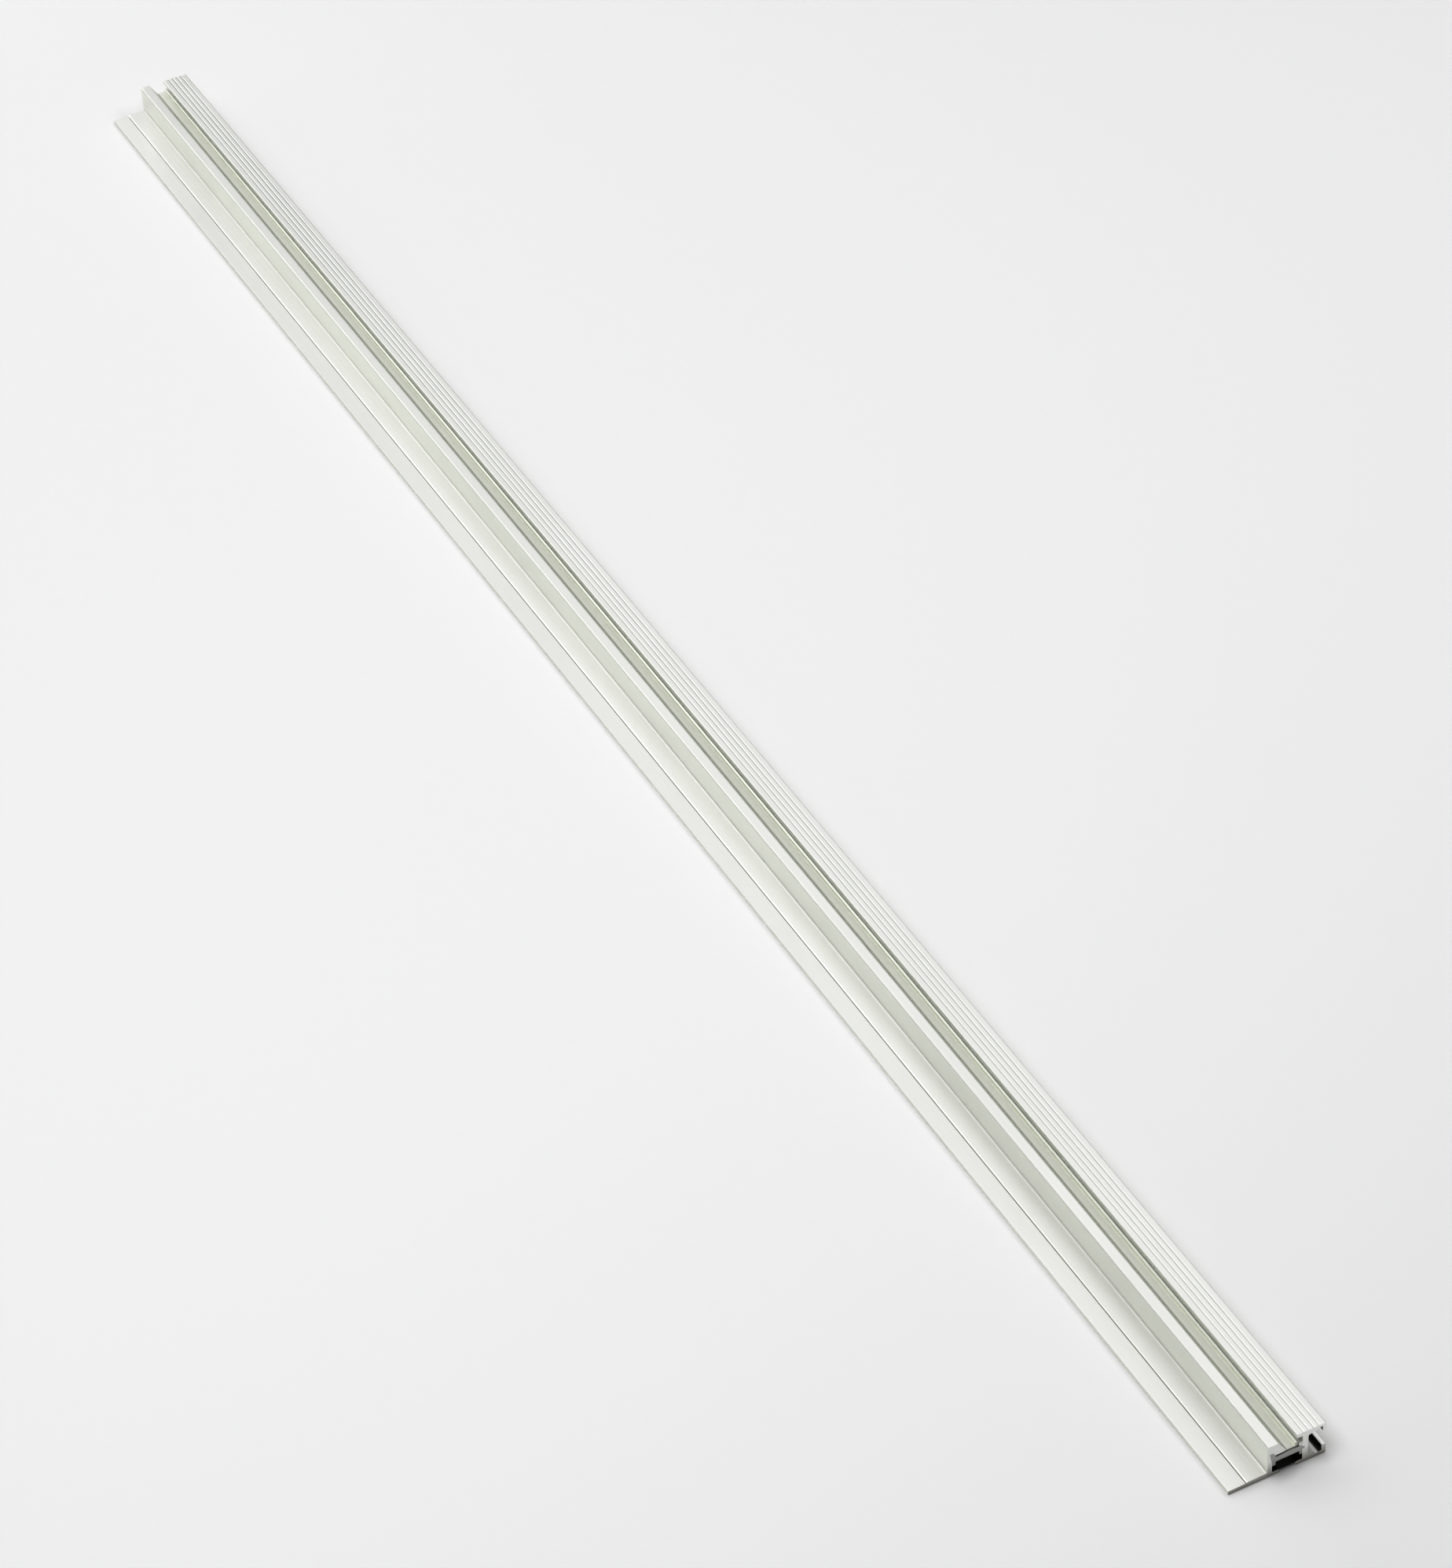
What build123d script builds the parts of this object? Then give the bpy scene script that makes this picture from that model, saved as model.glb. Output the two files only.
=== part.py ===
"""Long drafting straightedge: a two-rail aluminium extrusion with an insert web, a slide-in liner and an edge strip.

Frame: millimetres, +X across the section from the thin edge to the ribbed side, +Y along the length, +Z up.
The origin is at the middle of the bottom face. Section places are stated from the tip of the thin edge, at x = 0.
"""

import os

from build123d import *

# Overall size
LENGTH = 1270.0
WIDTH = 49.0
HEIGHT = 18.3

# Heights shared by several pieces
LIP_TOP = 2.0  # top of the two lips of the bottom slot
CAVITY_STEP = 5.4  # under side of the web's two legs
WEB_BOTTOM = 7.6
WEB_TOP = 10.5
EAR_TOP = 13.4  # top of the web's hooked ear
SLIDE_GAP = 0.25  # free space above and below the liner
LINER_THICKNESS = 0.6

# Fence rail: thin flange, upright wall and the bar along its top
FENCE_TOP = 18.2
FENCE_FACE = 19.7
BAR_EDGE = 25.1  # right edge of the bar's flat top
BAR_ROUND = 0.9  # rounding between the bar's flat top and the fence face
BAR_TOE = 29.0  # foot of the bar's slanted side
TOE_RELIEF_WIDTH = 1.2  # the toe's under side rises away from the liner
TOE_RELIEF_HEIGHT = 0.5
FLANGE_TOP = 2.4
FLANGE_ROOT = 2.7  # flange height where it meets the wall
ROOT_FILLET = 0.8
BEVEL_END = 10.0  # the flange's top falls away from here to the step
BEVEL_DROP = 0.3
STEP_EDGE = 9.2  # upper edge of the step beside the edge strip
STEP_FOOT = 9.7  # the step leans over the strip by the difference
RECESS_FLOOR = 1.0

# Edge strip, keyed under the leaning step
STRIP_GAP = 0.28
STRIP_TOP = 2.05
STRIP_TIP_TOP = 1.9

# Bottom slot, between the lips of the two rails
SLOT_LEFT = 25.4
SLOT_RIGHT = 33.8
CAVITY_LEFT = 22.05
CAVITY_RIGHT = 37.2
LEG_LEFT_INNER = 23.8
LEG_RIGHT_INNER = 35.7

# Web insert: hooked ear under the bar at the left, tongue in the channel rail's wall at the right
EAR_LEFT = 20.8
EAR_RIGHT = 22.5
EAR_BASE = 23.75
SEAM_TURN = 6.9  # where the seam beside the ear leaves the upright cavity wall
TONGUE_TIP = 38.3
TONGUE_BOTTOM = 8.2
TONGUE_TOP = 9.8
SHOULDER = 10.9  # top of the web under the channel rail's toe

# Channel rail: ribbed plate, wall with a toe, side channel
WALL_RIGHT = 40.2
WALL_UPPER_LEFT = 37.4
TOE_LEFT = 35.5
TOE_TOP = 13.1
PLATE_LEFT = 34.2
PLATE_NOSE = 16.7
PLATE_UNDER_LEFT = 16.3
PLATE_UNDER_WALL = 14.9
PLATE_UNDER_RIGHT = 16.8
HEEL = 45.9  # where the under side of the plate turns level
LIP_LEFT = 47.45
LIP_BOTTOM = 13.7
CHANNEL_STEP = 43.4
CHANNEL_FLOOR = 3.3
LOWER_LIP_LEFT = 46.9
LOWER_LIP_TOP = 5.2
RIB_FIRST = 37.8
RIB_PITCH = 2.65
RIB_COUNT = 4
RIB_HALF_WIDTH = 0.6
RIB_DEPTH = 0.11

# Groove liner: a flat strip with a raised bead along its right edge, its top leaning towards the bar
LINER_LEFT = 24.0
BEAD_LEFT = 33.95
BEAD_CREST = 34.8  # the leaning top ends here and a level ledge follows
BEAD_RIGHT = 35.2
BEAD_LOW = 13.0
BEAD_TOP = 13.4
BEAD_ROUND = 0.2
LINER_SETBACK = 0.6  # the liner ends this far inside each cut end

EDGE_BREAK = 0.25  # rounding of the rails' long edges

LINER_BOTTOM = WEB_TOP + SLIDE_GAP
LINER_TOP = LINER_BOTTOM + LINER_THICKNESS
BAR_UNDER = LINER_TOP + SLIDE_GAP

# The section plane stands at the far end, so that extruding runs back towards -Y over the whole length.
SECTION = Plane(origin=(-WIDTH / 2, LENGTH / 2, 0), x_dir=(1, 0, 0), z_dir=(0, -1, 0))


def closed_outline(corners):
    """Draw a closed outline from (x, z, corner radius) rows in the open BuildLine."""
    points = [(x, z) for x, z, _ in corners]
    radii = [radius for _, _, radius in corners]
    FilletPolyline(*points, radius=radii, close=True)


fence_corners = [
    (0, 0, 0.15),
    (SLOT_LEFT, 0, EDGE_BREAK),
    (SLOT_LEFT, LIP_TOP, EDGE_BREAK),
    (CAVITY_LEFT, LIP_TOP, 0.3),
    (CAVITY_LEFT, SEAM_TURN, 0),
    (EAR_LEFT, EAR_TOP, 0),
    (EAR_RIGHT, EAR_TOP, 0),
    (EAR_BASE, BAR_UNDER, 0),
    (BAR_TOE - TOE_RELIEF_WIDTH, BAR_UNDER, 0),
    (BAR_TOE, BAR_UNDER + TOE_RELIEF_HEIGHT, 0.2),
    (BAR_EDGE, FENCE_TOP, EDGE_BREAK),
    (FENCE_FACE, FENCE_TOP, BAR_ROUND),
    (FENCE_FACE, FLANGE_ROOT, ROOT_FILLET),
    (BEVEL_END, FLANGE_TOP, 0.3),
    (STEP_EDGE, FLANGE_TOP - BEVEL_DROP, 0.15),
    (STEP_FOOT, RECESS_FLOOR, 0),
    (0, RECESS_FLOOR, 0),
]
with BuildPart() as fence_rail:
    with BuildSketch(SECTION):
        with BuildLine():
            closed_outline(fence_corners)
        make_face()
    extrude(amount=LENGTH)

strip_corners = [
    (0, RECESS_FLOOR, 0),
    (STEP_FOOT - STRIP_GAP, RECESS_FLOOR, 0),
    (STEP_EDGE - STRIP_GAP, STRIP_TOP, 0.1),
    (0, STRIP_TIP_TOP, 0.4),
]
with BuildPart() as edge_strip:
    with BuildSketch(SECTION):
        with BuildLine():
            closed_outline(strip_corners)
        make_face()
    extrude(amount=LENGTH)

web_corners = [
    (CAVITY_LEFT, CAVITY_STEP, 0.2),
    (LEG_LEFT_INNER, CAVITY_STEP, 0.3),
    (LEG_LEFT_INNER, WEB_BOTTOM, 0.4),
    (LEG_RIGHT_INNER, WEB_BOTTOM, 0.4),
    (LEG_RIGHT_INNER, CAVITY_STEP, 0.3),
    (CAVITY_RIGHT, CAVITY_STEP, 0.2),
    (CAVITY_RIGHT, TONGUE_BOTTOM, 0),
    (TONGUE_TIP, TONGUE_BOTTOM, 0.2),
    (TONGUE_TIP, TONGUE_TOP, 0.2),
    (CAVITY_RIGHT, TONGUE_TOP, 0),
    (CAVITY_RIGHT, SHOULDER, 0),
    (TOE_LEFT + 0.3, SHOULDER, 0.1),
    (TOE_LEFT, WEB_TOP, 0.1),
    (EAR_BASE, WEB_TOP, 0),
    (EAR_BASE, BAR_UNDER, 0.2),
    (EAR_RIGHT, EAR_TOP, 0.45),
    (EAR_LEFT, EAR_TOP, 0.25),
    (CAVITY_LEFT, SEAM_TURN, 0),
]
with BuildPart() as web_insert:
    with BuildSketch(SECTION):
        with BuildLine():
            closed_outline(web_corners)
        make_face()
    extrude(amount=LENGTH)

channel_corners = [
    (WIDTH, 0, EDGE_BREAK),
    (WIDTH, LOWER_LIP_TOP, EDGE_BREAK),
    (LOWER_LIP_LEFT, LOWER_LIP_TOP, EDGE_BREAK),
    (LOWER_LIP_LEFT, LIP_TOP, 0.4),
    (CHANNEL_STEP, LIP_TOP, 0.3),
    (CHANNEL_STEP, CHANNEL_FLOOR, 0.3),
    (WALL_RIGHT, CHANNEL_FLOOR, 0.5),
    (WALL_RIGHT, PLATE_UNDER_WALL, 0.6),
    (HEEL, PLATE_UNDER_RIGHT, 0.8),
    (LIP_LEFT, PLATE_UNDER_RIGHT, 0.3),
    (LIP_LEFT, LIP_BOTTOM, 0.3),
    (WIDTH, LIP_BOTTOM, 0.3),
    (WIDTH, HEIGHT, 0.4),
    (PLATE_LEFT, HEIGHT, 0.7),
    (PLATE_LEFT, PLATE_NOSE, 0.2),
    (PLATE_LEFT + 0.8, PLATE_UNDER_LEFT, 0.2),
    (WALL_UPPER_LEFT, PLATE_UNDER_LEFT, 0.5),
    (WALL_UPPER_LEFT, TOE_TOP, 0.2),
    (TOE_LEFT, TOE_TOP, 0.6),
    (TOE_LEFT, SHOULDER + 0.2, 0),
    (TOE_LEFT + 0.2, SHOULDER, 0),
    (CAVITY_RIGHT, SHOULDER, 0),
    (CAVITY_RIGHT, TONGUE_TOP, 0),
    (TONGUE_TIP, TONGUE_TOP, 0.2),
    (TONGUE_TIP, TONGUE_BOTTOM, 0.2),
    (CAVITY_RIGHT, TONGUE_BOTTOM, 0),
    (CAVITY_RIGHT, LIP_TOP, 0.3),
    (SLOT_RIGHT, LIP_TOP, EDGE_BREAK),
    (SLOT_RIGHT, 0, EDGE_BREAK),
]
with BuildPart() as channel_rail:
    with BuildSketch(SECTION):
        with BuildLine():
            closed_outline(channel_corners)
        make_face()
        for rib in range(RIB_COUNT):
            middle = RIB_FIRST + rib * RIB_PITCH
            with BuildLine():
                Polyline(
                    (middle - RIB_HALF_WIDTH, HEIGHT),
                    (middle, HEIGHT - RIB_DEPTH),
                    (middle + RIB_HALF_WIDTH, HEIGHT),
                    close=True,
                )
            make_face(mode=Mode.SUBTRACT)
    extrude(amount=LENGTH)

liner_corners = [
    (LINER_LEFT, LINER_BOTTOM, 0.15),
    (BEAD_RIGHT, LINER_BOTTOM, 0.3),
    (BEAD_RIGHT, BEAD_TOP, BEAD_ROUND),
    (BEAD_CREST, BEAD_TOP, 0.1),
    (BEAD_LEFT, BEAD_LOW, BEAD_ROUND),
    (BEAD_LEFT, LINER_TOP, 0.3),
    (LINER_LEFT, LINER_TOP, 0.15),
]
with BuildPart() as groove_liner:
    with BuildSketch(SECTION.offset(LINER_SETBACK)):
        with BuildLine():
            closed_outline(liner_corners)
        make_face()
    extrude(amount=LENGTH - 2 * LINER_SETBACK)

pieces = {
    "fence_rail": fence_rail,
    "edge_strip": edge_strip,
    "web_insert": web_insert,
    "channel_rail": channel_rail,
    "groove_liner": groove_liner,
}
os.makedirs("parts", exist_ok=True)
for name, piece in pieces.items():
    piece.part.label = name
    export_step(piece.part, f"parts/{name}.step")
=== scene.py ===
"""Looks of a long aluminium straightedge: satin rails, a dull liner and an edge strip, on a white table."""

import math

import bpy
from mathutils import Matrix, Vector


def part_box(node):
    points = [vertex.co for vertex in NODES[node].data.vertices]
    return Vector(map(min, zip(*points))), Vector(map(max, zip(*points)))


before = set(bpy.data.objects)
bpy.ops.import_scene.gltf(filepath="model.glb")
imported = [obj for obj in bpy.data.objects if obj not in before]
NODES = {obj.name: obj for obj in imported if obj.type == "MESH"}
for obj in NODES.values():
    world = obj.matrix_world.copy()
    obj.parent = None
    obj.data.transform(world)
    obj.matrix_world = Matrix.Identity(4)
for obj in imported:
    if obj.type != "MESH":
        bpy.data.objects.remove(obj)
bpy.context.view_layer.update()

MM = 0.001

# Camera: a long lens looking down on the near end from the thin edge's side, slightly rolled
CAMERA_AIM = Vector((0.0035, -0.1167, 0.009))
CAMERA_DISTANCE = 2.4715
CAMERA_AZIMUTH = math.radians(24.684)
CAMERA_ELEVATION = math.radians(40.020)
CAMERA_ROLL = math.radians(-4.173)
CAMERA_LENS_MM = 113.70
SENSOR_MM = 36.0

FLOOR_DROP = 0.2 * MM
FLOOR_HALF_SIZE = 12.0

TABLE_TONE = 0.95
TABLE_ROUGHNESS = 0.7

# Tints: of the metal as a whole, of the painted shade on its upright faces, of the liner, and of the painted
# shade low on the cut ends
WARM = (1.0, 1.005, 0.975)
PAINTED_SIDE_SHADE = (0.945, 0.955, 0.915)
LINER_TINT = (0.985, 1.0, 0.92)
PAINTED_SHADE_TINT = (1.0, 0.96, 0.90)

PAINTED_SHADE_TONE = 0.45  # share of the tone kept by the painted shade at the foot of the cut ends
PAINTED_SHADE_TOP = 9.0 * MM  # the cut ends are painted darker below this height, a painted shade
BUMP_HEIGHT = 0.02 * MM
LINE_BUMP = 0.10  # strength of the die lines' bump
SAW_BUMP = 0.15  # strength of the saw marks' bump
SAW_SCALE = 620.0  # of the wave texture, per metre
SAW_OFFSET = (70.0, 0.0, 40.0)  # takes the middle of the arcs away from the section, after scaling

CEILING = 1.6  # height of the overhead softboxes, metres
ROOM_LIGHT = 0.05  # faint light from all round

# Overhead softboxes: name, place (x, y), size (across, along), watts
OVERHEAD = [
    ("front_left", (-0.6, -0.5), (1.2, 1.0), 12.0),
    ("front_right", (1.5, -0.5), (1.0, 1.0), 9.9),
    ("back_left", (-0.5, 1.85), (1.1, 2.3), 8.5),
    ("back_middle", (0.5, 1.5), (1.0, 3.0), 7.35),
    ("back_right", (1.5, 1.5), (1.0, 3.0), 5.5),
    ("far_left", (-1.55, 1.8), (1.0, 2.2), 3.7),
]
# Upright softboxes: name, place (x, y, z), size (across, up), watts
UPRIGHT = [
    ("low_back", (0.0, 3.0, 0.4), (1.5, 0.8), 13.4),
    ("high_back", (-1.5, 3.0, 1.2), (1.5, 0.8), 3.1),
    ("left", (-2.2, 1.4, 0.7), (2.6, 1.2), 5.0),
]


class Shader:
    """A short way to write node trees: each call adds a node and links what it is given."""

    def __init__(self, name):
        self.material = bpy.data.materials.new(name)
        self.material.use_nodes = True
        self.tree = self.material.node_tree
        self.surface = self.tree.nodes["Principled BSDF"]

    def node(self, kind, inputs=None, **settings):
        made = self.tree.nodes.new(kind)
        for key, value in settings.items():
            setattr(made, key, value)
        for key, value in (inputs or {}).items():
            self.put(made.inputs[key], value)
        return made

    def put(self, socket, value):
        if isinstance(value, bpy.types.NodeSocket):
            self.tree.links.new(value, socket)
        else:
            socket.default_value = value

    def surface_input(self, name, value):
        self.put(self.surface.inputs[name], value)

    def place(self):
        """Where a point is on the piece, in metres."""
        return self.node("ShaderNodeTexCoord").outputs["Object"]

    def facing(self, axis):
        """How squarely the surface faces along an axis of the piece, either way: 0 to 1."""
        normal = self.node("ShaderNodeTexCoord").outputs["Normal"]
        part = self.node("ShaderNodeSeparateXYZ", {"Vector": normal}).outputs[axis]
        return self.math("ABSOLUTE", part)

    def height(self):
        """Height above the ground, in metres."""
        return self.node("ShaderNodeSeparateXYZ", {"Vector": self.place()}).outputs["Z"]

    def stretched(self, across, along):
        """Piece coordinates in features per metre, with the length scaled apart from the section."""
        mapping = self.node("ShaderNodeMapping", {"Vector": self.place(), "Scale": (across, along, across)})
        return mapping.outputs["Vector"]

    def math(self, operation, first, second=0.0):
        made = self.node("ShaderNodeMath", operation=operation)
        self.put(made.inputs[0], first)
        self.put(made.inputs[1], second)
        return made.outputs[0]

    def noise(self, vector, detail=3.0, roughness=0.5):
        made = self.node("ShaderNodeTexNoise", {"Vector": vector, "Scale": 1.0, "Detail": detail,
                                                "Roughness": roughness})
        return made.outputs["Fac"]

    def remap(self, value, low, high, to_low, to_high):
        made = self.node("ShaderNodeMapRange", {"Value": value, "From Min": low, "From Max": high,
                                                "To Min": to_low, "To Max": to_high})
        return made.outputs["Result"]

    def mix(self, factor, first, second, blend="MIX"):
        made = self.node("ShaderNodeMix", data_type="RGBA", blend_type=blend)
        self.put(made.inputs["Factor"], factor)
        self.put(made.inputs[6], first)
        self.put(made.inputs[7], second)
        return made.outputs[2]

    def inside(self, x_range, z_range, soft=0.3 * MM):
        """1 inside a box that runs along the whole length, fading to 0 over a short way outside it."""
        split = self.node("ShaderNodeSeparateXYZ", {"Vector": self.place()})
        factor = 1.0
        for axis, (low, high) in (("X", x_range), ("Z", z_range)):
            value = split.outputs[axis]
            rise = self.remap(value, low - soft, low, 0.0, 1.0)
            fall = self.remap(value, high, high + soft, 1.0, 0.0)
            factor = self.math("MULTIPLY", factor, self.math("MULTIPLY", rise, fall))
        return factor


def grey(value, tint=(1.0, 1.0, 1.0)):
    return tuple(value * part for part in tint) + (1.0,)


def saw_marks(shader):
    """Fine arcs that a saw leaves on a cut end."""
    scaled = shader.node("ShaderNodeMapping", {"Vector": shader.place(), "Location": SAW_OFFSET,
                                               "Scale": (SAW_SCALE,) * 3})
    rings = shader.node("ShaderNodeTexWave", {"Vector": scaled.outputs["Vector"], "Scale": 1.0,
                                              "Distortion": 6.0, "Detail": 3.0, "Detail Scale": 1.5},
                        wave_type="RINGS", rings_direction="Y")
    return rings.outputs["Fac"]


def satin_metal(name, light=0.90, tint=WARM, roughness=0.38, painted_shade_boxes=(), end_tone=1.0, metallic=1.0,
                patch=None):
    """Clear anodised aluminium: die lines along the length, soft clouding, pin specks and saw-cut ends.

    Each painted shade box is a box and the tone kept inside it: shade painted into hollows and gaps.
    The patch is a box, the metallic share inside it, and by how much its roughness is less.
    The cut ends are painted darker towards the bottom, a painted shade.
    """
    shader = Shader(name)
    die_lines = shader.noise(shader.stretched(5200.0, 3.0), detail=4.0, roughness=0.65)
    broad_lines = shader.noise(shader.stretched(1100.0, 1.2), detail=2.0)
    clouds = shader.noise(shader.stretched(45.0, 9.0), detail=4.0, roughness=0.55)
    grain = shader.noise(shader.stretched(4200.0, 900.0), detail=2.0)
    specks = shader.noise(shader.stretched(1300.0, 650.0), detail=1.0)

    lined = shader.remap(die_lines, 0.3, 0.7, 0.0, 1.0)
    plain = shader.mix(lined, grey(light * 0.95, tint), grey(light, tint))
    plain = shader.mix(shader.remap(broad_lines, 0.35, 0.65, 0.0, 0.5), plain, grey(light * 1.03, tint))
    plain = shader.mix(shader.remap(clouds, 0.3, 0.7, 0.0, 0.3), plain, grey(light * 0.93, tint))
    # painted shade: faces that look sideways are painted darker and warmer, for the shade and tinted bounce
    # light upright faces get
    painted_side_mask = shader.remap(shader.facing("X"), 0.3, 0.95, 0.0, 1.0)
    tone = shader.mix(painted_side_mask, plain, shader.mix(1.0, plain, grey(1.0, PAINTED_SIDE_SHADE), "MULTIPLY"))
    tone = shader.mix(shader.remap(specks, 0.80, 0.84, 0.0, 0.35), tone, grey(light * 0.55, tint))
    # painted shade: each box darkens the tone inside it, where shade falls in hollows, gaps and under
    # overhangs
    for (x_range, z_range), kept in painted_shade_boxes:
        shaded = shader.mix(1.0, tone, grey(kept), "MULTIPLY")
        tone = shader.mix(shader.inside(x_range, z_range), tone, shaded)
    cut = shader.remap(shader.facing("Y"), 0.9, 0.97, 0.0, 1.0)
    marks = saw_marks(shader)
    cut_tone = shader.mix(marks, grey(light * end_tone * 0.96, tint), grey(light * end_tone, tint))
    # painted shade: cut ends are painted darker and browner towards the bottom, standing in for the shadowed
    # table they reflect
    low_shade_mask = shader.remap(shader.height(), 0.0, PAINTED_SHADE_TOP, 1.0, 0.0)
    painted_low_shade = shader.mix(1.0, cut_tone, grey(PAINTED_SHADE_TONE, PAINTED_SHADE_TINT), "MULTIPLY")
    cut_tone = shader.mix(low_shade_mask, cut_tone, painted_low_shade)
    shader.surface_input("Base Color", shader.mix(cut, tone, cut_tone))

    rubbed = shader.remap(clouds, 0.3, 0.7, roughness - 0.04, roughness + 0.04)
    rubbed = shader.math("ADD", rubbed, shader.remap(die_lines, 0.3, 0.7, -0.03, 0.03))
    if patch:
        (x_range, z_range), metallic_there, smoother = patch
        there = shader.inside(x_range, z_range)
        metallic = shader.remap(there, 0.0, 1.0, metallic, metallic_there)
        rubbed = shader.math("SUBTRACT", rubbed, shader.remap(there, 0.0, 1.0, 0.0, smoother))
    shader.surface_input("Metallic", metallic)
    shader.surface_input("Roughness", rubbed)
    height = shader.mix(0.35, die_lines, grain)
    along = shader.node("ShaderNodeBump", {"Height": height, "Strength": LINE_BUMP, "Distance": BUMP_HEIGHT})
    height = shader.mix(cut, height, marks)
    ends = shader.node("ShaderNodeBump", {"Height": height, "Distance": BUMP_HEIGHT,
                                          "Strength": shader.math("MULTIPLY", cut, SAW_BUMP),
                                          "Normal": along.outputs["Normal"]})
    shader.surface_input("Normal", ends.outputs["Normal"])
    return shader.material


def paint(node, material):
    slots = NODES[node].data.materials
    slots.clear()
    slots.append(material)


def section(node, left, right, low, high):
    """A box of the section in metres, its sides stated from the node's left side and the ground, in mm."""
    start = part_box(node)[0].x
    return (start + left * MM, start + right * MM), (low * MM, high * MM)


def make_floor():
    mesh = bpy.data.meshes.new("table")
    h = FLOOR_HALF_SIZE
    z = -FLOOR_DROP
    mesh.from_pydata([(-h, -h, z), (h, -h, z), (h, h, z), (-h, h, z)], [], [(0, 1, 2, 3)])
    floor = bpy.data.objects.new("table", mesh)
    bpy.context.scene.collection.objects.link(floor)
    shader = Shader("table_white")
    shader.surface_input("Base Color", grey(TABLE_TONE))
    shader.surface_input("Roughness", TABLE_ROUGHNESS)
    mesh.materials.append(shader.material)


def area_light(name, place, aim, size, watts):
    lamp = bpy.data.lights.new(name, "AREA")
    lamp.shape = "RECTANGLE"
    lamp.size, lamp.size_y = size
    lamp.energy = watts
    holder = bpy.data.objects.new(name, lamp)
    holder.location = place
    holder.rotation_euler = (Vector(aim) - Vector(place)).to_track_quat("-Z", "Y").to_euler()
    bpy.context.scene.collection.objects.link(holder)


def make_lights():
    """Softboxes overhead and behind; the near side is left dim, so the cut end's slots stay deep."""
    world = bpy.data.worlds.new("studio")
    bpy.context.scene.world = world
    world.use_nodes = True
    world.node_tree.nodes["Background"].inputs["Strength"].default_value = ROOM_LIGHT
    for name, (x, y), size, watts in OVERHEAD:
        area_light(name, (x, y, CEILING), (x, y, 0.0), size, watts)
    for name, place, size, watts in UPRIGHT:
        area_light(name, place, (0.0, 0.0, place[2]), size, watts)


def make_camera():
    camera = bpy.data.cameras.new("camera")
    camera.lens = CAMERA_LENS_MM
    camera.sensor_width = SENSOR_MM
    camera.clip_start = 0.05
    camera.clip_end = 50.0
    forward = Vector((math.sin(CAMERA_AZIMUTH) * math.cos(CAMERA_ELEVATION),
                      math.cos(CAMERA_AZIMUTH) * math.cos(CAMERA_ELEVATION),
                      -math.sin(CAMERA_ELEVATION)))
    level_right = Vector((math.cos(CAMERA_AZIMUTH), -math.sin(CAMERA_AZIMUTH), 0.0))
    level_up = level_right.cross(forward)
    right = level_right * math.cos(CAMERA_ROLL) + level_up * math.sin(CAMERA_ROLL)
    up = level_up * math.cos(CAMERA_ROLL) - level_right * math.sin(CAMERA_ROLL)
    turned = Matrix((right, up, -forward)).transposed().to_4x4()
    holder = bpy.data.objects.new("camera", camera)
    holder.matrix_world = Matrix.Translation(CAMERA_AIM - forward * CAMERA_DISTANCE) @ turned
    bpy.context.scene.collection.objects.link(holder)
    bpy.context.scene.camera = holder


def paint_pieces():
    """Each piece's metal, with painted shade in its hollows and gaps; a section box is in mm from the piece's
    left side.
    """
    # painted shade in the hollow under the bar and at the bar's foot
    left_cavity = section("fence_rail", 22.0, 25.6, 1.9, 7.0)
    bar_foot = section("fence_rail", 26.6, 29.5, 11.0, 13.6)
    paint("fence_rail", satin_metal("satin_fence", painted_shade_boxes=[(left_cavity, 0.3), (bar_foot, 0.55)]))

    # painted shade in the hollow, the side channel and under the lower lip
    right_cavity = section("channel_rail", -0.5, 3.5, 1.9, 7.9)
    side_channel = section("channel_rail", 6.3, 13.7, 2.1, 17.0)
    lip_shade = section("channel_rail", 11.6, 13.2, 1.9, 4.9)
    toe = section("channel_rail", 1.5, 3.6, 12.0, 13.4)
    paint("channel_rail", satin_metal("satin_channel", patch=(toe, 0.3, 0.0),
                                      painted_shade_boxes=[(right_cavity, 0.3), (side_channel, 0.8), (lip_shade, 0.25)]))

    # painted shade in the web's hollow; the web's cut end is toned darker than its sides
    web_cavity = section("web_insert", 1.0, 17.0, 5.0, 7.8)
    paint("web_insert", satin_metal("mill_web", light=0.80, roughness=0.45, painted_shade_boxes=[(web_cavity, 0.3)],
                                    end_tone=0.62))

    # painted shade on the liner beside the bar's foot; the liner's cut end is painted darker too, a painted
    # shade
    foot_shade = section("groove_liner", 3.8, 5.8, 10.0, 12.0)
    bead = section("groove_liner", 9.8, 10.7, 12.0, 14.0)
    paint("groove_liner", satin_metal("dull_liner", light=0.86, tint=LINER_TINT, roughness=0.48, metallic=0.5,
                                      painted_shade_boxes=[(foot_shade, 0.6)], end_tone=0.7, patch=(bead, 1.0, 0.15)))

    paint("edge_strip", satin_metal("satin_strip", light=0.87, roughness=0.42))


make_camera()
make_lights()
make_floor()
paint_pieces()
bpy.context.scene.view_settings.view_transform = "Standard"
bpy.context.scene.view_settings.look = "High Contrast"
